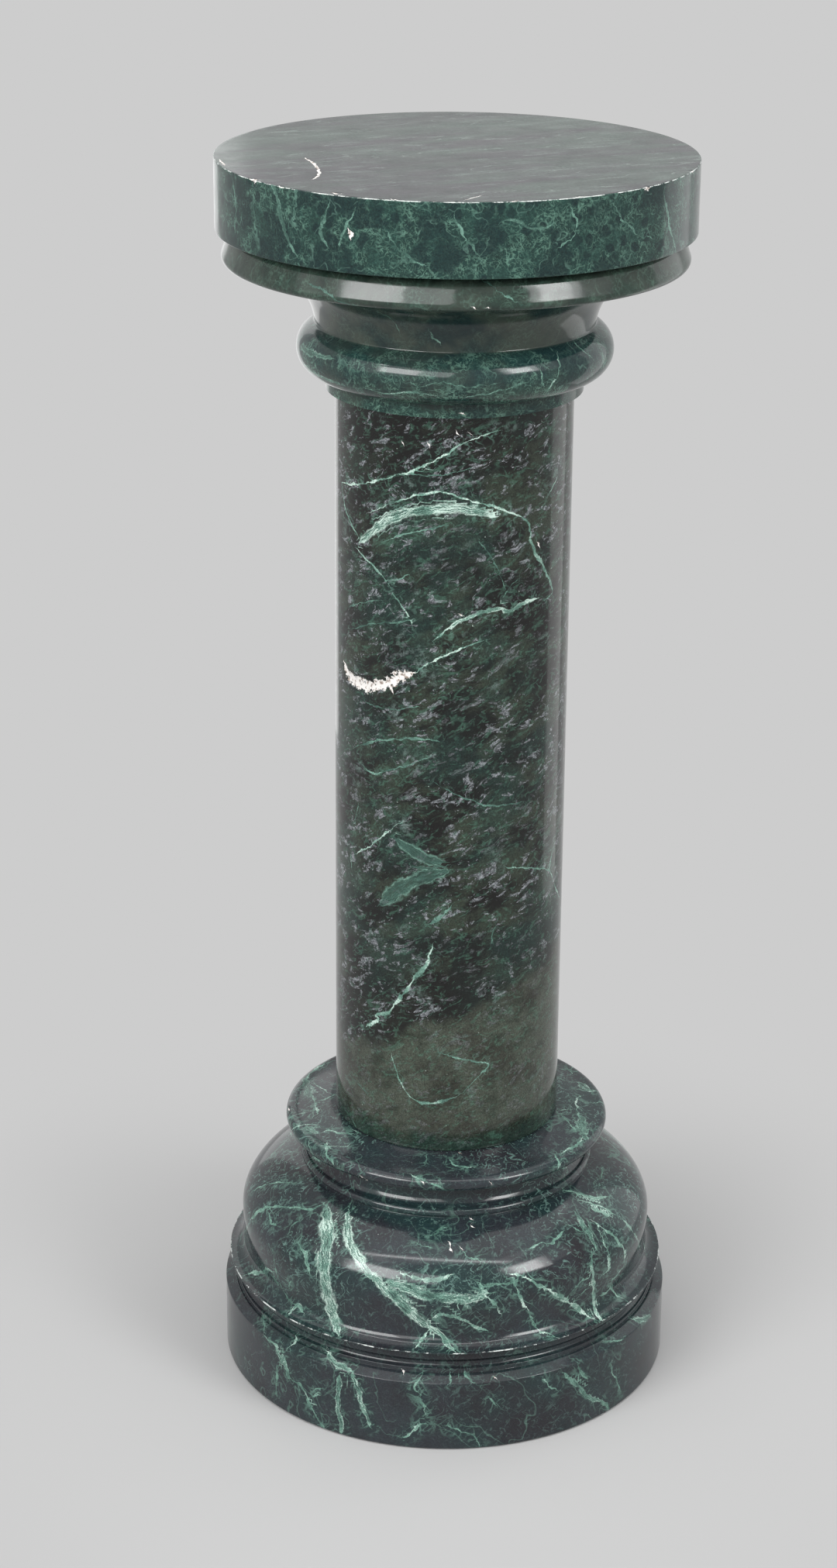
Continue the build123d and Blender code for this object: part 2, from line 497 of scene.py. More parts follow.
SHAFT_VEINS = (
    (
        4.4, 1.0, 465, 699, 480, 685, 497, 673, 521, 663, 545, 659, 570, 657, 594, 656,
        618, 661, 637, 665,
    ),
    (
        0.8, 0.8, 480, 660, 500, 652, 516, 646, 536, 639, 574, 635, 604, 645, 633, 652,
        662, 663, 675, 667,
    ),
    (1.5, 0.6, 674, 667, 684, 678, 685, 699, 690, 712, 696, 721, 704, 738, 713, 762, 705, 773),
    (0.7, 0.5, 498, 698, 520, 690, 548, 684, 575, 678),
    (0.6, 0.6, 441, 627, 447, 661, 461, 690),
    (0.6, 0.7, 461, 709, 482, 731, 497, 748, 511, 772, 526, 791, 532, 806),
    (0.5, 0.4, 497, 748, 512, 747, 528, 742),
    (
        0.7, 0.8, 441, 623, 461, 625, 492, 618, 526, 610, 550, 599, 574, 588, 594, 573,
        618, 564, 642, 556,
    ),
    (0.4, 0.3, 526, 610, 540, 612, 560, 614, 590, 610, 610, 603),
    (1.8, 0.9, 565, 823, 579, 811, 599, 799, 618, 791, 642, 785, 657, 789, 674, 779, 691, 773),
    (0.6, 0.8, 536, 867, 557, 854, 584, 841, 606, 833, 626, 826),
    (0.4, 0.6, 723, 606, 714, 626, 704, 647),
    (0.5, 0.4, 650, 770, 658, 758, 668, 748),
    (0.5, 0.4, 451, 783, 470, 777, 493, 775),
    (0.5, 0.3, 449, 812, 480, 805, 510, 803, 530, 800),
    (0.8, 0.4, 458, 964, 482, 956, 504, 954, 536, 953, 567, 957),
    (0.6, 0.5, 464, 984, 475, 994, 487, 998, 504, 992, 531, 986, 555, 976),
    (0.6, 0.7, 459, 1102, 475, 1093, 490, 1082, 507, 1068, 521, 1060),
    (0.4, 0.4, 462, 1039, 459, 1052, 458, 1064),
    (0.4, 0.5, 453, 1102, 453, 1111, 454, 1120),
    (1.2, 0.4, 582, 1169, 576, 1176, 570, 1182, 555, 1192),
    (0.6, 0.6, 722, 1158, 715, 1140, 708, 1123, 688, 1120, 654, 1119),
    (0.5, 0.5, 708, 1123, 712, 1100, 716, 1086),
    (0.4, 0.3, 642, 1185, 637, 1202, 633, 1219),
    (
        1.3, 0.85, 558, 1223, 549, 1246, 535, 1262, 524, 1278, 510, 1294, 501, 1306,
        485, 1309, 488, 1315, 473, 1324,
    ),
    (
        0.9, 0.6, 506, 1365, 512, 1386, 526, 1411, 538, 1420, 551, 1424, 568, 1422,
        584, 1417, 597, 1410,
    ),
    (0.6, 0.5, 597, 1410, 607, 1400, 620, 1386, 631, 1376, 625, 1371, 595, 1366, 565, 1358),
    (0.4, 0.3, 450, 1386, 464, 1400, 478, 1416),
    (0.4, 0.3, 453, 1441, 458, 1452, 464, 1461),
    (0.5, 0.3, 620, 700, 640, 730, 652, 760),
    (0.5, 0.3, 560, 1010, 600, 1030, 640, 1040, 676, 1034),
    (0.4, 0.3, 470, 905, 500, 915, 540, 912),
    (7.0, 0.2, 492, 1166, 514, 1148, 540, 1134, 576, 1124),
    (5.0, 0.16, 512, 1084, 528, 1094, 548, 1108, 570, 1112),
)

SHAFT_BREAKS = (
    (4.3, 0.9, 444, 856, 450, 872, 462, 882, 480, 886, 500, 881, 516, 873, 532, 869),
    (1.4, 0.4, 502, 880, 506, 893),
    (0.9, 0.5, 553, 573, 554, 575),
    (0.7, 0.4, 519, 571, 520, 573),
    (0.7, 0.4, 589, 558, 590, 560),
    (0.6, 0.4, 606, 559, 607, 560),
    (0.8, 0.4, 594, 793, 596, 794),
    (0.9, 0.4, 694, 700, 696, 705),
)

CAPITAL_VEINS = (
    (2.5, 0.4, 388, 446, 396, 452, 410, 458, 428, 462),
    (2.0, 0.5, 392, 470, 404, 480, 418, 488, 440, 496),
    (0.7, 0.7, 720, 458, 722, 472, 718, 488, 706, 503),
    (0.5, 0.5, 697, 476, 699, 488, 700, 501),
    (0.5, 0.5, 555, 428, 561, 437, 568, 444),
    (0.4, 0.4, 486, 402, 498, 408, 509, 415, 515, 428),
    (0.6, 0.5, 470, 500, 500, 508, 530, 505, 560, 510, 590, 506),
    (0.5, 0.5, 520, 492, 545, 498, 570, 494, 600, 499, 640, 494),
    (0.5, 0.5, 600, 512, 630, 508, 660, 500, 684, 492),
    (0.5, 0.4, 740, 440, 752, 452, 764, 462),
)

CAPITAL_BREAKS = ((0.9, 0.3, 595, 533, 598, 534),)

TOP_VEINS = (
    (1.6, 0.36, 352, 234, 356, 255, 364, 285, 372, 312, 384, 330),
    (1.4, 0.36, 384, 240, 382, 262, 378, 285, 386, 304),
    (1.0, 0.3, 425, 262, 418, 285, 412, 300, 424, 318),
    (0.9, 0.42, 456, 274, 450, 284, 444, 296, 438, 316),
    (0.9, 0.3, 300, 226, 304, 262, 302, 300),
    (0.9, 0.3, 326, 240, 328, 280, 332, 320),
    (0.8, 0.3, 500, 300, 512, 318, 530, 334, 548, 340),
    (0.8, 0.36, 588, 280, 596, 300, 606, 316, 616, 330),
    (0.8, 0.3, 640, 290, 664, 284, 690, 296, 716, 290),
    (0.9, 0.36, 736, 268, 744, 286, 738, 306, 724, 318),
    (0.8, 0.36, 790, 262, 802, 282, 820, 300, 842, 308),
    (0.9, 0.36, 858, 252, 862, 274, 866, 300, 872, 322),
    (0.8, 0.3, 622, 362, 640, 372, 656, 384, 676, 392),
    (0.8, 0.3, 400, 366, 424, 378, 440, 390, 470, 396),
)

TOP_BREAKS = (
    (1.2, 0.3, 394, 204, 404, 210, 411, 219, 411, 226, 404, 231),
    (0.5, 0.2, 600, 258, 610, 255, 622, 252),
    (2.2, 1.0, 450, 298, 451, 306),
    (2.0, 1.0, 322, 231, 330, 234),
    (1.4, 0.8, 430, 249, 440, 250),
    (1.3, 0.8, 588, 260, 592, 260),
    (2.4, 1.0, 834, 244, 838, 242),
    (1.6, 0.9, 892, 221, 894, 220),
    (0.9, 0.5, 283, 206, 290, 213),
    (0.9, 0.5, 360, 240, 366, 242),
    (0.9, 0.5, 505, 257, 512, 258),
    (0.9, 0.5, 556, 260, 560, 260),
    (0.9, 0.5, 660, 260, 668, 259),
    (0.9, 0.5, 742, 254, 752, 253),
    (0.6, 0.4, 611, 397, 613, 398),
    (0.6, 0.4, 629, 397, 630, 397),
)

BASE_VEINS = (
    (0.9, 0.6, 418, 1372, 408, 1379, 399, 1386, 387, 1405),
    (5.5, 0.45, 392, 1392, 397, 1402, 400, 1415),
    (0.9, 0.8, 402, 1413, 407, 1424, 410, 1434, 404, 1441),
    (0.6, 0.6, 402, 1397, 415, 1404, 427, 1411),
    (0.6, 0.6, 412, 1420, 420, 1418, 429, 1413),
    (0.6, 0.6, 370, 1445, 379, 1439, 393, 1436),
    (0.9, 0.7, 374, 1462, 381, 1455, 395, 1451, 406, 1451),
    (3.2, 0.6, 395, 1453, 402, 1458, 410, 1462),
    (0.9, 0.6, 399, 1474, 404, 1489, 412, 1499),
    (0.8, 0.6, 422, 1474, 422, 1489, 431, 1504),
    (0.8, 0.6, 410, 1462, 425, 1459, 440, 1461, 456, 1462),
    (0.6, 0.5, 414, 1478, 430, 1479, 448, 1478, 456, 1472),
    (0.7, 0.6, 452, 1441, 460, 1455, 466, 1462),
    (0.6, 0.6, 530, 1515, 543, 1522, 556, 1527, 571, 1533),
    (0.6, 0.6, 551, 1491, 550, 1496, 549, 1500),
    (0.7, 0.6, 580, 1497, 586, 1504, 609, 1506),
    (0.8, 0.6, 716, 1490, 721, 1499, 719, 1510),
    (0.8, 0.6, 728, 1499, 728, 1505, 727, 1510),
    (0.7, 0.5, 326, 1536, 341, 1529, 356, 1526, 379, 1526),
    (1.2, 0.6, 316, 1589, 326, 1570, 339, 1560, 360, 1556, 383, 1558, 402, 1562, 418, 1552),
    (0.7, 0.5, 345, 1564, 351, 1577, 356, 1581),
    (0.7, 0.5, 372, 1591, 378, 1581, 385, 1575),
    (6.8, 0.85, 421, 1556, 422, 1598, 418, 1640, 425, 1678, 436, 1720),
    (4.2, 0.9, 450, 1562, 447, 1579, 453, 1608, 466, 1627, 480, 1650),
    (5.5, 0.75, 474, 1640, 492, 1658, 519, 1683, 537, 1698, 552, 1712),
    (2.0, 0.85, 550, 1710, 566, 1720, 575, 1731, 585, 1743),
    (1.6, 0.5, 312, 1646, 322, 1643, 334, 1642, 348, 1638, 357, 1655),
    (1.8, 0.6, 373, 1696, 380, 1688, 384, 1684, 391, 1693),
    (0.6, 0.6, 376, 1654, 372, 1658, 373, 1662),
    (1.6, 0.5, 383, 1604, 389, 1611, 395, 1619, 399, 1640),
    (0.6, 0.4, 352, 1610, 356, 1640, 366, 1666, 380, 1684),
    (1.6, 0.6, 520, 1643, 533, 1648, 542, 1651, 568, 1651, 580, 1646),
    (5.0, 0.6, 500, 1655, 520, 1660, 545, 1670, 570, 1673, 596, 1678, 619, 1673, 626, 1666),
    (1.6, 0.7, 558, 1700, 571, 1696, 591, 1700, 606, 1708, 626, 1716),
    (0.8, 0.6, 591, 1681, 592, 1686, 593, 1690),
    (1.1, 0.7, 619, 1656, 623, 1668, 634, 1678, 646, 1694),
    (1.0, 0.7, 551, 1719, 545, 1729, 536, 1738),
    (0.7, 0.5, 549, 1594, 558, 1593, 567, 1587, 576, 1584),
    (0.6, 0.4, 539, 1604, 548, 1607, 556, 1610),
    (0.6, 0.5, 596, 1615, 602, 1621, 612, 1624, 626, 1629),
    (1.5, 0.55, 626, 1660, 640, 1657, 656, 1655, 664, 1650),
    (1.4, 0.6, 728, 1534, 751, 1541, 770, 1546, 785, 1543),
    (0.9, 0.6, 747, 1548, 776, 1557, 799, 1570, 814, 1585, 823, 1602, 826, 1615),
    (1.5, 0.6, 762, 1558, 776, 1564, 787, 1569),
    (1.1, 0.7, 766, 1577, 787, 1591, 799, 1604, 806, 1617, 806, 1633),
    (2.4, 0.5, 743, 1564, 753, 1581, 762, 1596, 769, 1610),
    (1.0, 0.6, 772, 1587, 779, 1602, 784, 1617, 786, 1638),
    (0.7, 0.5, 735, 1580, 744, 1586, 753, 1589),
    (0.8, 0.5, 680, 1612, 695, 1605, 709, 1604, 714, 1602, 726, 1588),
    (1.3, 0.35, 784, 1482, 799, 1487, 784, 1493),
    (0.6, 0.35, 779, 1506, 776, 1513, 774, 1520),
    (1.5, 0.85, 659, 1644, 680, 1648, 700, 1662, 716, 1669, 730, 1676, 755, 1695, 775, 1704),
    (0.8, 0.75, 663, 1652, 675, 1683, 680, 1687, 687, 1704, 696, 1716, 707, 1721, 721, 1726),
    (1.6, 0.65, 764, 1616, 764, 1636, 766, 1662, 766, 1687, 775, 1704),
    (0.8, 0.5, 734, 1671, 748, 1655, 760, 1648),
    (0.7, 0.5, 741, 1673, 749, 1668, 757, 1664),
    (0.8, 0.5, 785, 1611, 787, 1636, 778, 1645),
    (0.8, 0.6, 807, 1612, 808, 1630, 789, 1654, 791, 1666, 803, 1675),
    (0.7, 0.5, 771, 1675, 779, 1669, 787, 1664),
    (3.5, 0.45, 818, 1702, 827, 1704, 838, 1699),
    (3.0, 0.5, 357, 1740, 362, 1752, 369, 1766),
    (
        1.4, 0.6, 342, 1725, 359, 1739, 369, 1757, 373, 1777, 387, 1786, 394, 1798,
        401, 1814, 412, 1834, 421, 1845,
    ),
    (1.0, 0.6, 382, 1723, 380, 1732, 369, 1741),
    (0.8, 0.5, 341, 1696, 341, 1705, 341, 1714),
    (2.6, 0.7, 455, 1773, 464, 1798, 468, 1816, 477, 1839),
    (2.6, 0.55, 437, 1772, 437, 1796, 436, 1818, 441, 1839, 441, 1850),
    (2.8, 0.75, 424, 1745, 430, 1755, 440, 1763, 452, 1768),
    (0.8, 0.4, 357, 1764, 357, 1793, 355, 1800),
    (0.6, 0.5, 401, 1796, 409, 1792, 417, 1791),
    (0.6, 0.5, 398, 1804, 405, 1803, 412, 1800),
    (0.8, 0.6, 545, 1767, 544, 1774, 537, 1784, 535, 1791, 541, 1799, 546, 1811, 549, 1824),
    (0.6, 0.4, 579, 1768, 582, 1779, 578, 1787),
    (0.6, 0.4, 600, 1769, 601, 1777, 614, 1786),
    (0.9, 0.6, 520, 1854, 535, 1844, 543, 1837, 551, 1837),
    (0.6, 0.5, 571, 1839, 583, 1841, 595, 1847, 610, 1852, 618, 1865),
    (0.6, 0.5, 631, 1804, 635, 1808, 639, 1812),
    (0.8, 0.5, 701, 1779, 709, 1789, 717, 1793),
    (1.8, 0.5, 728, 1773, 746, 1789, 757, 1802, 778, 1809, 784, 1818),
    (0.8, 0.5, 744, 1757, 750, 1768, 757, 1779),
    (0.8, 0.5, 787, 1761, 794, 1780, 801, 1795),
    (0.8, 0.5, 778, 1732, 790, 1731, 803, 1728),
)

BASE_BREAKS = (
    (1.0, 0.6, 580, 1603, 581, 1606),
    (1.2, 0.7, 581, 1611, 582, 1613),
    (0.9, 0.6, 595, 1610, 596, 1611),
    (0.8, 0.5, 608, 1572, 609, 1573),
    (0.8, 0.5, 609, 1582, 610, 1583),
    (0.7, 0.5, 633, 1526, 634, 1527),
    (0.7, 0.5, 545, 1525, 546, 1526),
    (0.8, 0.5, 466, 1518, 467, 1519),
    (0.7, 0.5, 473, 1522, 474, 1523),
    (0.8, 0.5, 592, 1487, 594, 1488),
    (0.9, 0.5, 372, 1430, 373, 1432),
    (1.0, 0.5, 520, 1768, 521, 1771),
    (0.7, 0.4, 638, 1777, 639, 1778),
)


# ---------------- materials

# Shades that tint one ground, beside the colours that a user can change
UMBER = (0.017, 0.015, 0.011)
ASH = (0.022, 0.026, 0.028)
FERN = (0.07, 0.17, 0.12)
LICHEN = (0.10, 0.145, 0.13)
SHAFT_SPOT = (0.34, 0.42, 0.37)
FAINT_FIBRE = (0.040, 0.105, 0.082)
CLEAR_FIBRE = (0.19, 0.37, 0.28)
SATIN_GREEN = (0.046, 0.071, 0.060)
SATIN_PLUM = (0.037, 0.036, 0.044)
SATIN_FILM = (0.14, 0.19, 0.17)
SATIN_GLOOM = (0.018, 0.028, 0.026)
SATIN_LINE = (0.24, 0.30, 0.27)
# Blue of the torus: partly the stone's own tone, partly a painted reflection on its upper side
TORUS_BLUE_SHEEN = (0.03, 0.065, 0.075)
BASE_HAIR = (0.14, 0.25, 0.22)
BASE_SPOT = (0.4, 0.45, 0.43)
DARK_STEEL = (0.28, 0.28, 0.29)

# Heights between which a ground changes, in metres from the floor
SHAFT_FOOT_CLOUD = (0.366, 0.352)
SHAFT_SHADOW = (0.44, 0.38)
SHAFT_HEAD_CLOUD = (0.775, 0.815)
# Painted shade and reflection where the shaft meets the base, partly the stone's own green
SHAFT_FOOT_SHADE = (0.256, 0.238)
# Where the painted reflection on the torus's upper side fades in
TORUS_SHEEN_LEVELS = (0.846, 0.866)
COVE_TINT = (0.8745, 0.8765)
BASE_GREEN = (0.10, 0.14)
BASE_WEB = (0.06, 0.13)
BASE_HAIRS = (0.115, 0.135)


class Nodes:
    """The nodes of a material or of the world, added a step at a time."""

    def __init__(self, owner):
        owner.use_nodes = True
        self.nodes = owner.node_tree.nodes
        self.links = owner.node_tree.links

    def join(self, value, socket):
        """Links a socket, or sets a plain value."""
        if isinstance(value, bpy.types.NodeSocket):
            self.links.new(value, socket)
        else:
            socket.default_value = value

    def node(self, kind, inputs, **settings):
        """A new node with its settings and inputs."""
        made = self.nodes.new("ShaderNode" + kind)
        for key, value in settings.items():
            setattr(made, key, value)
        for key, value in inputs.items():
            self.join(value, made.inputs[key])
        return made

    def maths(self, operation, a, b=0.0, c=0.0):
        """One step of arithmetic."""
        return self.node("Math", {0: a, 1: b, 2: c}, operation=operation).outputs[0]

    def times(self, *values):
        """All the values multiplied together."""
        result = values[0]
        for value in values[1:]:
            result = self.maths("MULTIPLY", result, value)
        return result

    def most(self, *values):
        """The highest of the values."""
        result = values[0]
        for value in values[1:]:
            result = self.maths("MAXIMUM", result, value)
        return result

    def plus(self, value, amount, base):
        """The base with an amount of the value added."""
        return self.maths("MULTIPLY_ADD", value, amount, base)

    def tint(self, value):
        """A colour with its alpha, or a socket as it is."""
        return value if isinstance(value, bpy.types.NodeSocket) else (*value, 1.0)

    def blend(self, share, a, b):
        """Colour a turned into colour b by share."""
        inputs = {0: share, 6: self.tint(a), 7: self.tint(b)}
        return self.node("Mix", inputs, data_type="RGBA").outputs[2]

    def seen(self):
        """1 for what the camera, a reflection or a view through glass sees."""
        path = self.node("LightPath", {}).outputs
        rays = ("Is Camera Ray", "Is Glossy Ray", "Is Transmission Ray")
        return self.most(*(path[ray] for ray in rays))


class Finish(Nodes):
    """One material and the ways to pattern it."""

    def __init__(self, name):
        self.material = bpy.data.materials.new(name)
        super().__init__(self.material)
        self.shader = self.nodes["Principled BSDF"]
        self.place = self.nodes.new("ShaderNodeTexCoord").outputs["Object"]

    def split(self, vector):
        """The three numbers of a vector."""
        return self.node("SeparateXYZ", {0: vector}).outputs

    def parts(self, attribute):
        """The three numbers that a mesh attribute holds."""
        return self.split(
            self.node("Attribute", {}, attribute_name=attribute).outputs["Vector"]
        )

    def laid(self, where, turn, stretch, shift=(0.0, 0.0, 0.0)):
        """The place turned, in degrees, then stretched and shifted."""
        angles = [radians(a) for a in turn]
        turned = self.node("Mapping", {"Vector": where, "Rotation": angles}).outputs[0]
        inputs = {"Vector": turned, "Scale": stretch, "Location": shift}
        return self.node("Mapping", inputs).outputs[0]

    def noise(self, where, scale, detail=3.0, rough=0.55, twist=0.0, out="Fac"):
        """Cloudy noise, from 0 to 1."""
        inputs = {
            "Vector": where,
            "Scale": scale,
            "Detail": detail,
            "Roughness": rough,
            "Distortion": twist,
        }
        return self.node("TexNoise", inputs).outputs[out]

    def swing(self, where, scale, rough=0.55):
        """Noise that swings about 0."""
        return self.maths("SUBTRACT", self.noise(where, scale, 3.0, rough), 0.5)

    def cells(self, where, scale):
        """How far each point is from the nearest seed, and that seed's shade."""
        made = self.node("TexVoronoi", {"Vector": where, "Scale": scale}).outputs
        shade = self.node("SeparateColor", {0: made["Color"]}).outputs[0]
        return made["Distance"], shade

    def fade(self, value, low, high, least=0.0, most=1.0):
        """A smooth step of value, from least at low to most at high."""
        inputs = {0: value, 1: low, 2: high, 3: least, 4: most}
        return self.node("MapRange", inputs, interpolation_type="SMOOTHSTEP").outputs[0]

    def between(self, share, a, b):
        """Number a turned into number b by share."""
        return self.node("Mix", {0: share, 2: a, 3: b}).outputs[0]

    def over(self, ground, coat, *shares):
        """The ground with a coat over it, by all the shares multiplied."""
        return self.blend(self.times(*shares), ground, coat)

    def warped(self, where, amount, scale, detail=2.0):
        """The place pushed about by noise."""
        push = self.noise(where, scale, detail, out="Color")
        inputs = {0: push, 1: (0.5, 0.5, 0.5)}
        centred = self.node("VectorMath", inputs, operation="SUBTRACT").outputs[0]
        inputs = {0: centred, 1: (amount,) * 3, 2: where}
        return self.node("VectorMath", inputs, operation="MULTIPLY_ADD").outputs[0]

    def mottle(self, where, scale, share, detail=4.0, rough=0.6, soft=0.08, twist=0.0):
        """Irregular patches that cover about the given share."""
        cloud = self.noise(where, scale, detail, rough, twist)
        edge = 0.5 + (0.5 - share) * 0.45
        return self.fade(cloud, edge - soft, edge + soft)

    def hairlines(self, where, scale, width, share, seed=0.0, detail=1.5, chop=1.3):
        """Fine curved lines where a noise crosses its middle, chopped into lengths."""
        moved = self.laid(where, (0, 0, 0), (1, 1, 1), (seed, seed * 0.7, -seed))
        cloud = self.noise(moved, scale, detail, 0.5, 0.4)
        off = self.maths("ABSOLUTE", self.maths("SUBTRACT", cloud, 0.5))
        thin = self.fade(off, width, width * 0.2)
        return self.times(thin, self.mottle(moved, scale * chop, share, 2.0))

    def grained(self, stone, scale, least, most):
        """The stone's colour made darker and lighter by fine grain."""
        grain = self.noise(self.place, scale, 4.0, 0.7)
        inputs = {0: stone, "Scale": self.fade(grain, 0.3, 0.7, least, most)}
        return self.node("VectorMath", inputs, operation="SCALE").outputs[0]

    def dots(self, scale, size, share):
        """Small round dots in the given share of the cells."""
        away, shade = self.cells(self.warped(self.place, 6 * MM, 90.0), scale)
        spot = self.fade(away, size, size * 0.6)
        return self.times(spot, self.fade(shade, 1 - share, 1 - share + 0.01))

    def worn(self, radius, height, reach, share):
        """Wear along a turned arris, in broken stretches."""
        x, y, z = self.split(self.place)
        out = self.maths("SQRT", self.plus(x, x, self.times(y, y)))
        out = self.maths("SUBTRACT", out, radius)
        up = self.maths("SUBTRACT", z, height)
        away = self.maths("SQRT", self.plus(out, out, self.times(up, up)))
        ragged = self.noise(self.place, 420.0, 3.0, 0.65)
        edge = self.fade(self.plus(ragged, reach, away), reach * 1.35, reach * 0.95)
        return self.times(edge, self.mottle(self.place, 60.0, share, 6.0, 0.75, 0.05))

    def veins(self, wander=5 * MM):
        """How much vein covers each point, how bright it is and how near it is."""
        where = self.place
        side, reach, along = self.parts("vein_run")
        width, tone, _ = self.parts("vein_form")
        broad = self.fade(width, 1.0 * MM, 2.4 * MM)

        # The line sways and its edges are jagged, less so where it is broad
        jag = self.swing(where, 430.0, 0.65)
        off = self.plus(self.swing(where, 130.0), wander, side)
        off = self.plus(jag, self.fade(broad, 0, 1, 1.0 * MM, 0.45 * MM), off)
        pulse = self.fade(self.noise(where, 110.0, 2.0), 0.32, 0.68, 0.25, 1.8)
        pulse = self.between(broad, pulse, self.fade(pulse, 0.0, 2.0, 0.75, 1.2))
        spread = self.times(width, pulse)
        share = self.maths("DIVIDE", self.maths("ABSOLUTE", off), spread)
        near = self.fade(self.maths("SUBTRACT", reach, spread), 5 * MM, 3 * MM)

        # Fibres run along a broad vein, with wisps beside it
        lay = [self.times(off, 1000.0), self.times(along, 60.0), self.times(jag, 0.35)]
        lengthwise = self.node("CombineXYZ", dict(enumerate(lay))).outputs[0]
        fibre = self.fade(self.noise(lengthwise, 1.3, 3.0, 0.7, 0.5), 0.40, 0.58)
        weave = self.between(broad, 1.0, self.plus(fibre, 0.6, 0.4))
        fringe = self.times(self.fade(share, 2.6, 0.8), self.fade(broad, 0, 1, 0.9, 0.3))
        wisps = self.times(fringe, self.mottle(where, 420.0, 0.3, 3.0, 0.6, 0.04), 0.2)
        cover = self.times(self.most(self.fade(share, 1.08, 0.62), wisps), near, weave)

        level = self.fade(self.noise(where, 70.0, 3.0), 0.3, 0.7, 0.45, 1.3)
        edge = self.times(broad, self.fade(share, 0.45, 0.8))
        bright = self.plus(edge, 0.35, self.times(tone, weave, level))
        halo = self.times(self.fade(reach, 13 * MM, 1 * MM), tone)
        return cover, bright, halo

    def breaks(self):
        """Where the stone is chipped, cracked or scratched white."""
        side, reach, _ = self.parts("break_run")
        width = self.parts("break_form")[0]
        coarse = self.swing(self.place, 150.0)
        fine = self.swing(self.place, 520.0, 0.7)
        off = self.plus(self.plus(coarse, 2.8, self.times(fine, 2.6)), width, side)
        room = self.maths("ADD", width, 1e-5)
        share = self.maths("DIVIDE", self.maths("ABSOLUTE", off), room)
        near = self.fade(self.maths("SUBTRACT", reach, width), 2.6 * MM, 1.2 * MM)
        return self.times(self.fade(share, 1.0, 0.75), near)

    def polish(self, ground, veins, colours, wear=0.0, haze=(0.07, 0.14)):
        """Lays veins, breaks and wear on the ground and polishes the stone."""
        cover, bright, _ = veins
        grain = self.noise(self.place, 900.0, 2.0)
        bright = self.times(bright, self.fade(grain, 0.25, 0.75, 0.6, 1.3))
        vein = self.blend(self.fade(bright, 0.1, 0.55), colours.deep, colours.mint)
        vein = self.blend(self.fade(bright, 0.5, 1.0), vein, colours.frost)
        stone = self.blend(cover, ground, vein)
        chips = self.breaks()
        broken = self.most(chips, wear)
        dirt = self.noise(self.place, 330.0, 3.0)
        chalk = self.blend(self.fade(dirt, 0.34, 0.5), colours.dirt, colours.chalk)
        stone = self.blend(wear, stone, colours.rubbed)
        self.join(self.blend(chips, stone, chalk), self.shader.inputs["Base Color"])
        clouds = self.fade(self.noise(self.place, 45.0, 4.0), 0.3, 0.7, *haze)
        rough = self.plus(broken, 0.7, clouds)
        self.join(rough, self.shader.inputs["Roughness"])
        self.shader.inputs["Specular IOR Level"].default_value = 0.42
        swell = self.times(self.noise(self.place, 260.0, 3.0), 0.12)
        pits = self.plus(broken, -0.7, swell)
        bump = self.node("Bump", {"Strength": 0.25, "Distance": 0.4 * MM, "Height": pits})
        self.join(bump.outputs[0], self.shader.inputs["Normal"])
        return rough


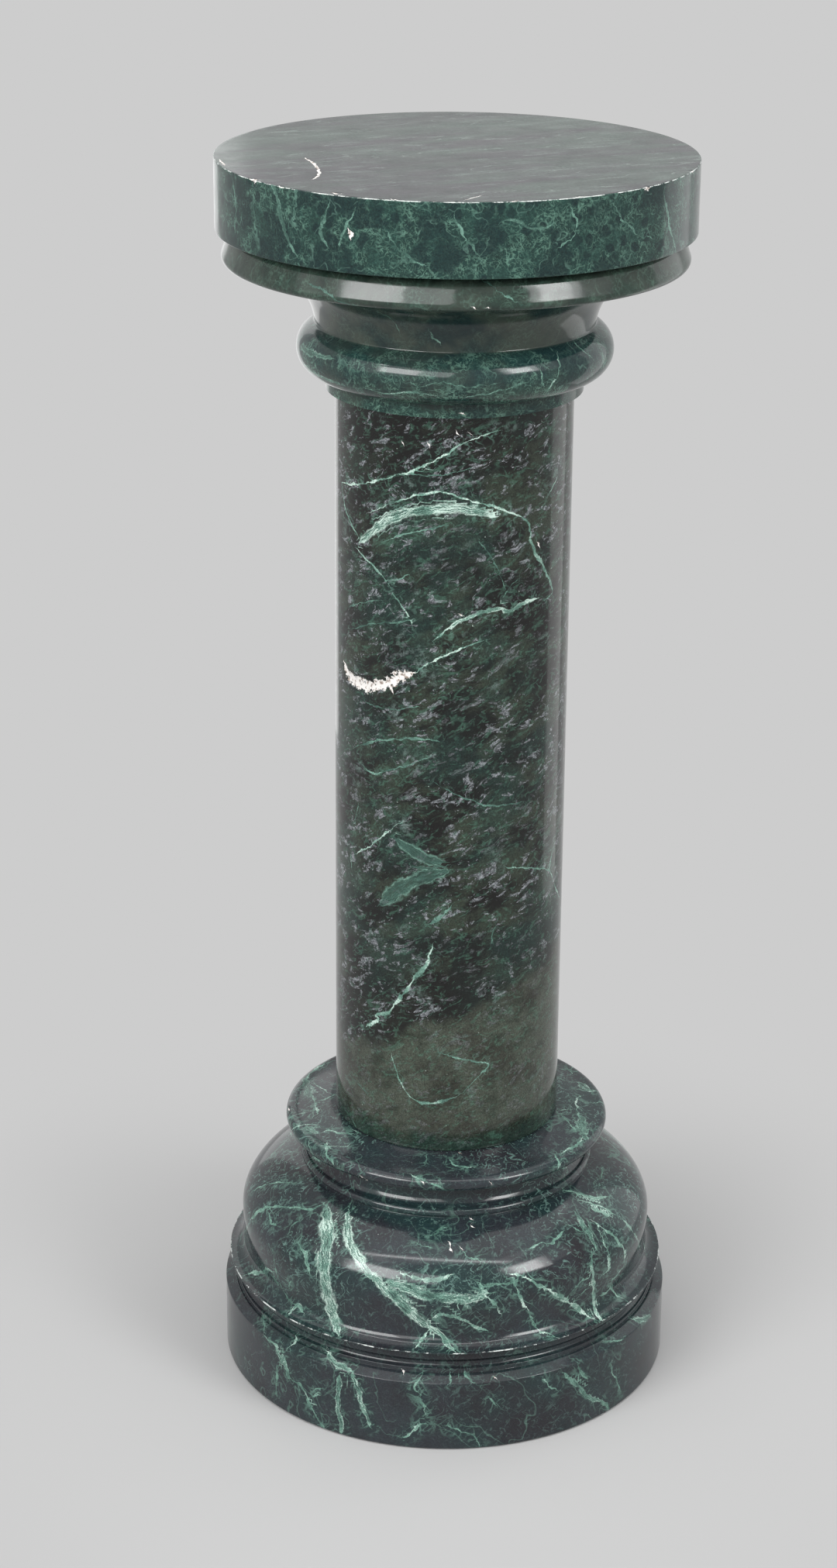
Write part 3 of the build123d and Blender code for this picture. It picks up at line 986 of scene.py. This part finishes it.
def shaft_marble(colours):
    """Brown black stone with purple grey flecks that lean up to the right."""
    mix = Finish("shaft_marble")
    x, _, z = mix.split(mix.place)
    bent = mix.warped(mix.place, 14 * MM, 26.0, 3.0)
    lean = mix.laid(bent, (8, 26, 0), (0.75, 0.75, 1.5))
    patches = mix.mottle(lean, 30.0, 0.46, 6.0, 0.65)
    ground = mix.blend(patches, colours.black, colours.olive)
    green = mix.mottle(bent, 14.0, 0.42, soft=0.10)
    ground = mix.over(ground, colours.teal, green, 0.55)

    # Dark clouds at the head, a shadow and olive stone at the foot
    slope = mix.plus(x, -0.45, z)
    slope = mix.plus(mix.noise(mix.place, 25.0, 4.0), 0.05, slope)
    low = mix.fade(slope, *SHAFT_FOOT_CLOUD)
    shadow = mix.times(mix.fade(slope, *SHAFT_SHADOW), mix.fade(x, 0.05, 0.0))
    high = mix.fade(slope, *SHAFT_HEAD_CLOUD)
    ground = mix.over(ground, colours.black, shadow, 0.8)
    olives = mix.mottle(lean, 45.0, 0.62, 6.0, 0.7, 0.09)
    ground = mix.over(ground, mix.blend(olives, colours.olive, colours.moss), low, 0.85)
    ground = mix.over(ground, colours.black, high, 0.6)
    brown = mix.mottle(mix.place, 15.0, 0.42, 5.0, 0.65, 0.05)
    ground = mix.over(ground, UMBER, low, brown, 0.6)
    # Painted shade and reflection: a darker teal band low on the shaft where it meets the
    # base, partly the stone's own green
    foot_shade = mix.fade(mix.plus(mix.noise(mix.place, 45.0, 4.0), 0.03, z), *SHAFT_FOOT_SHADE)
    ground = mix.over(ground, colours.teal, foot_shade, 0.6)

    # Flecks, wisps and torn clouds
    speck = mix.mottle(lean, 92.0, 0.35, 6.0, 0.72, 0.012, 0.6)
    region = mix.mottle(lean, 15.0, 0.55, 3.0, soft=0.10)
    region = mix.fade(mix.most(region, high), 0, 1, 0.3, 1.0)
    flecks = mix.times(speck, region, mix.fade(low, 0, 1, 1.0, 0.3))
    ash = mix.fade(mix.noise(lean, 420.0, 4.0, 0.75), 0.35, 0.68)
    ground = mix.over(ground, mix.blend(ash, ASH, colours.grey), flecks, 0.9)
    wisps = mix.most(
        mix.hairlines(lean, 85.0, 0.055, 0.36, 0.4),
        mix.hairlines(lean, 150.0, 0.055, 0.36, 0.9),
    )
    ground = mix.over(ground, FERN, wisps, 0.34)
    cloud = mix.mottle(mix.place, 32.0, 0.2, soft=0.05)
    torn = mix.mottle(lean, 130.0, 0.45, 5.0, 0.7, 0.05)
    ground = mix.over(ground, LICHEN, cloud, torn, 0.6)
    ground = mix.grained(ground, 800.0, 0.55, 1.6)
    ground = mix.over(ground, SHAFT_SPOT, mix.dots(120.0, 0.075, 0.2), 0.8)
    veins = mix.veins()
    wisp = mix.times(veins[2], mix.hairlines(mix.place, 130.0, 0.05, 0.5, 1.7))
    ground = mix.over(ground, colours.mint, wisp, 0.45)
    mix.polish(ground, veins, colours)
    return mix.material


def breccia(mix, colours, lump_scale, dark, strength):
    """Green stone full of short pale fibres round darker lumps."""
    bent = mix.warped(mix.place, 9 * MM, 60.0, 3.0)
    ground = mix.blend(mix.mottle(bent, 48.0, 0.5, soft=0.14), colours.teal, colours.emerald)
    away, shade = mix.cells(bent, lump_scale)
    lumps = mix.times(mix.fade(away, 0.46, 0.30), mix.fade(shade, 0.40, 0.46))
    drift = mix.mottle(bent, 34.0, dark, soft=0.07)
    gloom = mix.most(mix.times(lumps, 0.85), mix.times(drift, 0.8))
    ground = mix.blend(gloom, ground, colours.night)
    fibres = mix.most(
        mix.hairlines(bent, 120.0, 0.034, 0.66, 0.3),
        mix.times(mix.hairlines(bent, 200.0, 0.046, 0.64, 0.8), 0.9),
        mix.times(mix.hairlines(bent, 340.0, 0.06, 0.52, 1.4), 0.75),
    )
    clear = mix.fade(gloom, 0.0, 0.8, 1.0, 0.22)
    pale = mix.fade(mix.noise(bent, 75.0, 3.0), 0.36, 0.64)
    fibre = mix.blend(pale, FAINT_FIBRE, CLEAR_FIBRE)
    ground = mix.over(ground, fibre, fibres, clear, strength)
    bold = mix.hairlines(bent, 55.0, 0.020, 0.42, 2.2)
    ground = mix.over(ground, colours.mint, bold, strength, 0.7)
    return mix.grained(ground, 700.0, 0.7, 1.35)


def top_marble(colours, slab_r, slab_foot, head):
    """Green broken-up stone, full of pale fibres, with a satin upper face."""
    mix = Finish("top_marble")
    ground = breccia(mix, colours, 95.0, 0.38, 0.38)
    cover, bright, halo = mix.veins(9 * MM)
    upward = mix.node("NewGeometry", {}).outputs["Normal"]
    face = mix.fade(mix.split(upward)[2], 0.9, 0.99)

    # The upper face: green and plum drifts under a thin pale film
    grain = (0, 0, -24)
    streaks = mix.laid(mix.place, grain, (0.7, 2.6, 1.0))
    drift = mix.noise(streaks, 6.0, 7.0, 0.66, 0.3)
    satin = mix.blend(mix.fade(drift, 0.40, 0.60), SATIN_GREEN, SATIN_PLUM)
    film = mix.mottle(streaks, 34.0, 0.34, 7.0, 0.72)
    satin = mix.over(satin, SATIN_FILM, film, 0.42)
    gloom = mix.mottle(mix.place, 16.0, 0.35, 5.0, 0.65)
    satin = mix.over(satin, SATIN_GLOOM, gloom, 0.6)
    lines = mix.hairlines(mix.laid(mix.place, grain, (0.4, 1.6, 1.0)), 45.0, 0.02, 0.4)
    satin = mix.over(satin, SATIN_LINE, lines, 0.4)
    satin = mix.grained(satin, 450.0, 0.55, 1.5)

    # The ring under the slab: ashen olive
    z = mix.split(mix.place)[2]
    ring = mix.fade(z, slab_foot + 0.8 * MM, slab_foot - 0.8 * MM)
    clouds = mix.mottle(streaks, 30.0, 0.5, 5.0, 0.65, 0.12)
    ground = mix.over(ground, mix.blend(clouds, colours.olive, colours.moss), ring, 0.52)
    ground = mix.blend(face, ground, satin)
    clear = mix.times(cover, mix.maths("SUBTRACT", 1.0, face))
    wear = mix.worn(slab_r, head, 0.8 * MM, 0.5)
    rough = mix.polish(ground, (clear, bright, halo), colours, wear, (0.08, 0.16))
    mix.join(mix.plus(face, 0.08, rough), mix.shader.inputs["Roughness"])
    return mix.material


def capital_marble(colours):
    """Dark green stone with olive clouds and a fine web of mint fibres."""
    mix = Finish("capital_marble")
    ground = breccia(mix, colours, 60.0, 0.42, 0.58)
    z = mix.split(mix.place)[2]
    # The torus's upper side turns bluer and lighter: partly the stone's own teal, partly a
    # painted reflection
    ground = mix.blend(mix.fade(z, *TORUS_SHEEN_LEVELS, 0.0, 0.25), ground, TORUS_BLUE_SHEEN)
    clouds = mix.mottle(mix.place, 20.0, 0.42, soft=0.1)
    ground = mix.over(ground, colours.moss, clouds, 0.3)
    haze = mix.mottle(mix.place, 30.0, 0.5, soft=0.15)
    haze = mix.blend(haze, colours.night, colours.moss)
    ground = mix.over(ground, haze, mix.fade(z, *COVE_TINT), 0.72)
    mix.polish(ground, mix.veins(7 * MM), colours)
    return mix.material


def base_marble(colours, lip, plinth):
    """Blue black stone, green near its veins, with sparse pale hairlines."""
    mix = Finish("base_marble")
    z = mix.split(mix.place)[2]
    bent = mix.warped(mix.place, 14 * MM, 24.0)
    patches = mix.mottle(bent, 14.0, 0.45, 5.0, soft=0.14)
    ground = mix.blend(patches, colours.slate, colours.plum)
    green = mix.mottle(bent, 12.0, 0.36, soft=0.12)
    ground = mix.over(ground, colours.lagoon, green, mix.fade(z, *BASE_GREEN, 0.6, 0.85))

    # Fine hairlines, more of them on the bell than on the plinth
    lively = mix.fade(mix.mottle(bent, 13.0, 0.5, 3.0, soft=0.10), 0, 1, 0.3, 1.0)
    lively = mix.times(lively, mix.fade(z, *BASE_WEB, 0.5, 1.0))
    rising = mix.laid(bent, (15, 38, 20), (0.45, 0.8, 1.25))
    falling = mix.laid(bent, (-10, -50, -25), (0.45, 0.8, 1.25))
    fine = mix.most(
        mix.hairlines(rising, 120.0, 0.030, 0.44, 0.5),
        mix.hairlines(falling, 190.0, 0.035, 0.42, 1.1),
    )
    ground = mix.over(ground, BASE_HAIR, fine, lively, mix.fade(z, *BASE_HAIRS, 0.5, 0.8))

    # Green and mint beside the veins
    veins = mix.veins(7 * MM)
    ground = mix.over(ground, colours.lagoon, veins[2], 0.6)
    near = mix.most(
        mix.hairlines(falling, 80.0, 0.040, 0.52, 1.7),
        mix.hairlines(rising, 150.0, 0.045, 0.5, 2.3),
    )
    ground = mix.over(ground, colours.mint, near, veins[2], 0.75)
    hair = mix.hairlines(falling, 26.0, 0.008, 0.46, 0.2, 2.5, 0.8)
    ground = mix.over(ground, colours.mint, hair, 0.3)
    ground = mix.grained(ground, 800.0, 0.7, 1.3)
    ground = mix.over(ground, BASE_SPOT, mix.dots(110.0, 0.05, 0.12), 0.8)
    wear = mix.most(mix.worn(*lip, 1.0 * MM, 0.42), mix.worn(*plinth, 0.7 * MM, 0.1))
    mix.polish(ground, veins, colours, wear)
    return mix.material


def dowel_steel(colours):
    """Drawn steel rod with fine lengthwise marks."""
    mix = Finish("dowel_steel")
    drawn = mix.laid(mix.place, (0, 0, 0), (1.0, 1.0, 0.03))
    marks = mix.noise(drawn, 1400.0, 4.0, 0.7)
    shade = mix.blend(mix.fade(marks, 0.3, 0.7), DARK_STEEL, colours.steel)
    mix.join(shade, mix.shader.inputs["Base Color"])
    mix.shader.inputs["Metallic"].default_value = 1.0
    mix.join(mix.fade(marks, 0.3, 0.7, 0.42, 0.28), mix.shader.inputs["Roughness"])
    return mix.material


# ---------------- pieces

# The back's veins are the front's, turned round the column
BACKWARD = Matrix.Rotation(radians(172), 4, "Z")

# How finely each stone is turned: its share of the largest stone's steps round,
# and the height that a row stays under
FINENESS = {
    "base": (5 / 6, 2.6 * MM),
    "shaft": (1 / 2, 1.95 * MM),
    "capital": (3 / 4, 1.8 * MM),
    "top_plate": (1, 2.1 * MM),
}


def place_stone(name, node, outline, material, veins, broken, turn):
    """Makes one finished stone that stands for a CAD node."""
    scene = bpy.context.scene
    share, row = FINENESS[node]
    stone = turn_stone(outline, round(scene.stage_settings.columns * share), row)
    mesh = bpy.data.meshes.new(name)
    tree = BVHTree.FromBMesh(stone)
    stone.to_mesh(mesh)
    stone.free()
    piece = bpy.data.objects.new(name, mesh)
    scene.collection.objects.link(piece)
    mesh.materials.append(material)
    lay_lines(mesh, tree, veins, "vein", turn)
    sink_chips(mesh, *lay_lines(mesh, tree, broken, "break"))
    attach(piece, "root")
    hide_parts(node)


def levels(node):
    """The heights of a CAD node's foot and head."""
    low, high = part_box(node)
    return low.z, high.z


class COLUMN_OT_base(bpy.types.Operator):
    """Turn the base and lay its veins and pits"""

    bl_idname = "column.base"
    bl_label = "Base"

    def execute(self, context):
        scene = context.scene
        size = scene.base_sizes
        head = size.plinth_h + size.slope_h + size.groove_h + size.bead_h + size.recess_h
        lip, plinth = (size.lip_r, head + size.lip_h), (size.plinth_r, size.plinth_h)
        marble = base_marble(scene.stone_colours, lip, plinth)
        outline = base_outline(size, *levels("base"))
        place_stone("base_stone", "base", outline, marble, BASE_VEINS, BASE_BREAKS, BACKWARD)
        return {"FINISHED"}


class COLUMN_OT_shaft(bpy.types.Operator):
    """Turn the shaft and lay its veins and the pale crescent crack"""

    bl_idname = "column.shaft"
    bl_label = "Shaft"

    def execute(self, context):
        scene = context.scene
        foot, head = levels("shaft")
        outline = shaft_outline(scene.shaft_sizes, foot, head)
        marble = shaft_marble(scene.stone_colours)
        middle = Matrix.Translation((0, 0, (foot + head) / 2))
        over = middle @ Matrix.Rotation(pi, 4, "X") @ middle.inverted()
        place_stone("shaft_stone", "shaft", outline, marble, SHAFT_VEINS, SHAFT_BREAKS, over)
        return {"FINISHED"}


class COLUMN_OT_capital(bpy.types.Operator):
    """Turn the capital with its band, torus and cove"""

    bl_idname = "column.capital"
    bl_label = "Capital"

    def execute(self, context):
        scene = context.scene
        outline = capital_outline(scene.capital_sizes, *levels("capital"))
        marble = capital_marble(scene.stone_colours)
        lines = CAPITAL_VEINS, CAPITAL_BREAKS
        place_stone("capital_stone", "capital", outline, marble, *lines, BACKWARD)
        return {"FINISHED"}


class COLUMN_OT_top(bpy.types.Operator):
    """Turn the round slab, nick its rim and scratch its upper face"""

    bl_idname = "column.top"
    bl_label = "Top"

    def execute(self, context):
        scene = context.scene
        size = scene.top_sizes
        foot, head = levels("top_plate")
        outline = top_outline(size, foot, head)
        marble = top_marble(scene.stone_colours, size.slab_r, head - size.slab_h, head)
        place_stone("top_stone", "top_plate", outline, marble, TOP_VEINS, TOP_BREAKS, BACKWARD)
        return {"FINISHED"}


class COLUMN_OT_dowels(bpy.types.Operator):
    """Give the two hidden steel dowels their finish"""

    bl_idname = "column.dowels"
    bl_label = "Dowels"

    def execute(self, context):
        steel = dowel_steel(context.scene.stone_colours)
        for name in ("lower_dowel", "upper_dowel"):
            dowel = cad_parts[name]
            dowel.data.materials.clear()
            dowel.data.materials.append(steel)
        return {"FINISHED"}


# ---------------- stage

FLOOR_RADIUS = 9.0
FLOOR_DROP = 0.2 * MM

# How far from the column the floor starts and ends melting into the backdrop
MELT = (0.2, 0.62)

# Every lamp points at AIM. Each has its azimuth from the front, plus to the right,
# and its elevation in degrees, its distance from AIM, its width and height, and
# its brightness.
AIM = Vector((0, 0, 0.55))
LAMPS = {
    "left_wide": (-58, 30, 2.4, 2.0, 1.6, 0.6),
    "left_core": (-42, 28, 5.0, 2.4, 1.6, 5.0),
    "left_spread": (-31, 28, 5.05, 4.8, 1.85, 2.6),
    "right_wide": (60, 36, 2.4, 1.6, 1.4, 0.5),
    "right_core": (50, 31, 5.0, 1.3, 1.35, 6.0),
    "right_spread": (50, 31, 5.05, 2.2, 1.7, 4.0),
    "overhead": (0, 90, 2.2, 3.6, 3.4, 0.65),
    "right_panel": (118, 6, 0.95, 0.45, 1.3, 0.55),
    "left_panel": (-158, 6, 1.3, 0.5, 1.3, 0.5),
    "high_strip": (-9, 57, 1.9, 2.8, 0.10, 7.0),
}


def floor_finish(settings):
    """Pale floor that keeps the shadow and melts into the backdrop further out."""
    mix = Finish("pale_floor")
    mix.join((*settings.floor, 1.0), mix.shader.inputs["Base Color"])
    mix.shader.inputs["Roughness"].default_value = 0.9
    mix.shader.inputs["Specular IOR Level"].default_value = 0.1
    away = mix.node("VectorMath", {0: mix.place}, operation="LENGTH").outputs["Value"]
    glow = mix.node("Emission", {"Color": (*settings.backdrop, 1.0)}).outputs[0]
    share = mix.times(mix.fade(away, *MELT), mix.seen())
    end = mix.node("MixShader", {0: share, 1: mix.shader.outputs[0], 2: glow})
    mix.join(end.outputs[0], mix.nodes["Material Output"].inputs["Surface"])
    return mix.material


def set_world(settings):
    """Plain light all round, with a pale grey backdrop where it is seen."""
    world = bpy.data.worlds.new("studio")
    bpy.context.scene.world = world
    mix = Nodes(world)
    shade = mix.blend(mix.seen(), (settings.ambient,) * 3, settings.backdrop)
    mix.join(shade, mix.nodes["Background"].inputs["Color"])


def add_lamp(name, azimuth, elevation, distance, width, height, brightness):
    """A soft panel that points at AIM and that the camera doesn't see."""
    light = bpy.data.lights.new(name, "AREA")
    light.shape = "RECTANGLE"
    light.size, light.size_y = width, height
    light.energy = brightness * 4 * width * height
    a, e = radians(azimuth), radians(elevation)
    way = Vector((sin(a) * cos(e), -cos(a) * cos(e), sin(e)))
    lamp = bpy.data.objects.new(name, light)
    lamp.location = AIM + way * distance
    lamp.rotation_euler = (AIM - lamp.location).to_track_quat("-Z", "Y").to_euler()
    lamp.visible_camera = False
    bpy.context.scene.collection.objects.link(lamp)


class COLUMN_OT_stage(bpy.types.Operator):
    """Set the camera, the soft lamps, the backdrop and the pale floor"""

    bl_idname = "column.stage"
    bl_label = "Stage"

    def execute(self, context):
        scene = context.scene
        settings = scene.stage_settings
        data = bpy.data.cameras.new("camera")
        data.lens = LENS
        data.sensor_width = SENSOR
        camera = bpy.data.objects.new("camera", data)
        camera.matrix_world = Matrix.Translation(EYE) @ EYE_TURN
        scene.collection.objects.link(camera)
        scene.camera = camera
        scene.view_settings.view_transform = "Standard"
        set_world(settings)
        shape = bmesh.new()
        bmesh.ops.create_circle(shape, cap_ends=True, segments=64, radius=FLOOR_RADIUS)
        bmesh.ops.translate(shape, verts=shape.verts[:], vec=(0, 0, -FLOOR_DROP))
        mesh = bpy.data.meshes.new("floor")
        shape.to_mesh(mesh)
        shape.free()
        floor = bpy.data.objects.new("floor", mesh)
        scene.collection.objects.link(floor)
        mesh.materials.append(floor_finish(settings))
        for name, panel in LAMPS.items():
            add_lamp(name, *panel)
        return {"FINISHED"}


class COLUMN_PT_panel(bpy.types.Panel):
    """Lists the pieces to make, and their sizes and colours"""

    bl_label = "Column"
    bl_idname = "COLUMN_PT_panel"
    bl_space_type = "VIEW_3D"
    bl_region_type = "UI"
    bl_category = "Column"

    def draw(self, context):
        for operator in OPERATORS:
            self.layout.operator(operator.bl_idname)
        for name in GROUPS:
            box = self.layout.box()
            box.label(text=name.replace("_", " ").capitalize())
            group = getattr(context.scene, name)
            for key in group.__annotations__:
                box.prop(group, key)


GROUPS = {
    "top_sizes": TopSizes,
    "capital_sizes": CapitalSizes,
    "shaft_sizes": ShaftSizes,
    "base_sizes": BaseSizes,
    "stone_colours": StoneColours,
    "stage_settings": StageSettings,
}
OPERATORS = (
    COLUMN_OT_stage,
    COLUMN_OT_base,
    COLUMN_OT_shaft,
    COLUMN_OT_capital,
    COLUMN_OT_top,
    COLUMN_OT_dowels,
)
CLASSES = (*GROUPS.values(), *OPERATORS, COLUMN_PT_panel)


def register():
    for made in CLASSES:
        bpy.utils.register_class(made)
    for name, group in GROUPS.items():
        setattr(bpy.types.Scene, name, PointerProperty(type=group))


def unregister():
    for name in GROUPS:
        delattr(bpy.types.Scene, name)
    for made in reversed(CLASSES):
        bpy.utils.unregister_class(made)


def main():
    """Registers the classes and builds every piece."""
    register()
    for operator in OPERATORS:
        group, name = operator.bl_idname.split(".")
        getattr(getattr(bpy.ops, group), name)()


if __name__ == "__main__":
    main()
